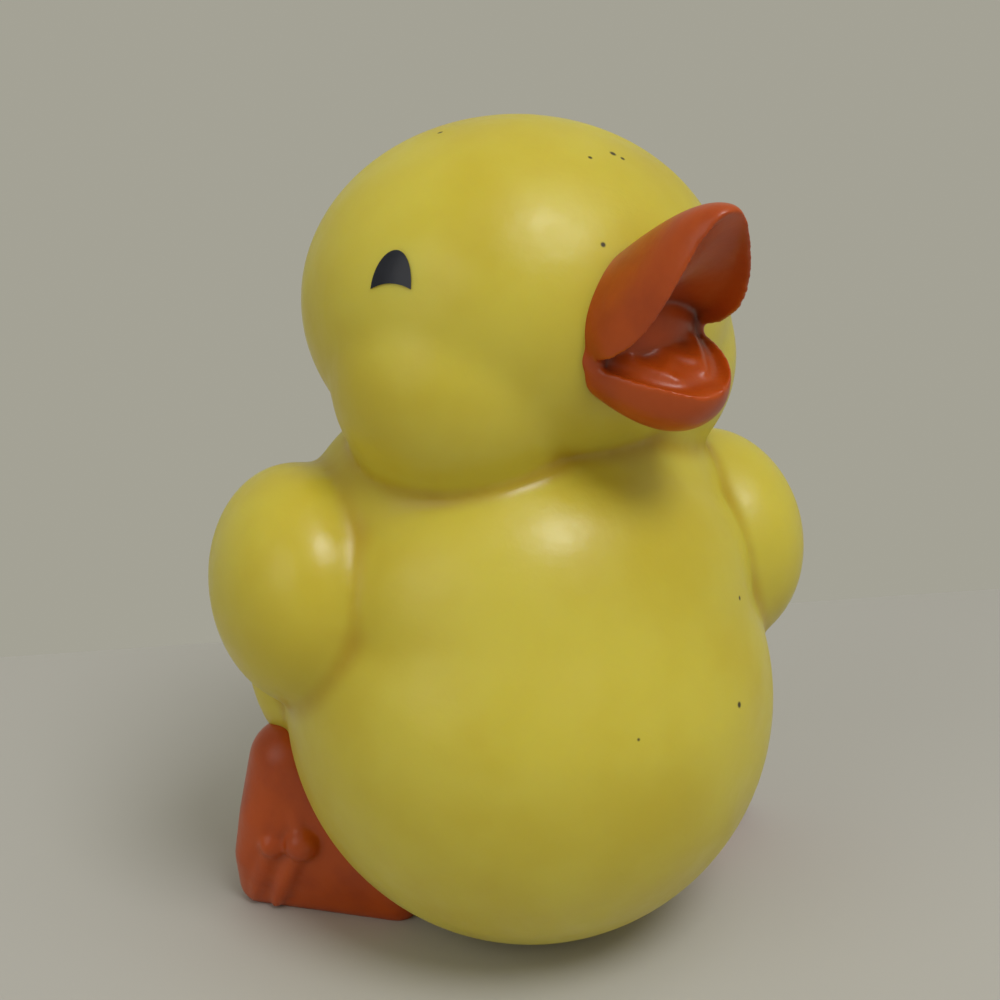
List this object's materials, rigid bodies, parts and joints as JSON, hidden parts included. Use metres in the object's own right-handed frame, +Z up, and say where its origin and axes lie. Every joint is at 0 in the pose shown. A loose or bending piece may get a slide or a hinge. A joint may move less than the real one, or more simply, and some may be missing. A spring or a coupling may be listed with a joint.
{
  "type": "rubber duck",
  "caption": "Sitting toy duckling with a round belly, a turned head, an open bill, stubby wings and webbed feet, hollow soft vinyl with an air hole underneath.",
  "frame": {"origin": "on the ground plane under the middle of the belly ball, in the middle of the flat spot that it sits on", "axes": "+Z up, the belly and feet face -Y, the duck's left side is at +X"},
  "size_m": [0.0641, 0.0609, 0.082],
  "materials": {
    "duck_vinyl": "waxy lemon-yellow soft vinyl with a low sheen",
    "bill_paint": "satin orange-red paint on the vinyl of bill and feet",
    "eye_paint": "gloss black paint on the vinyl"
  },
  "bodies": {
    "root": {"duck": "duck_vinyl"}
  },
  "joints": []
}
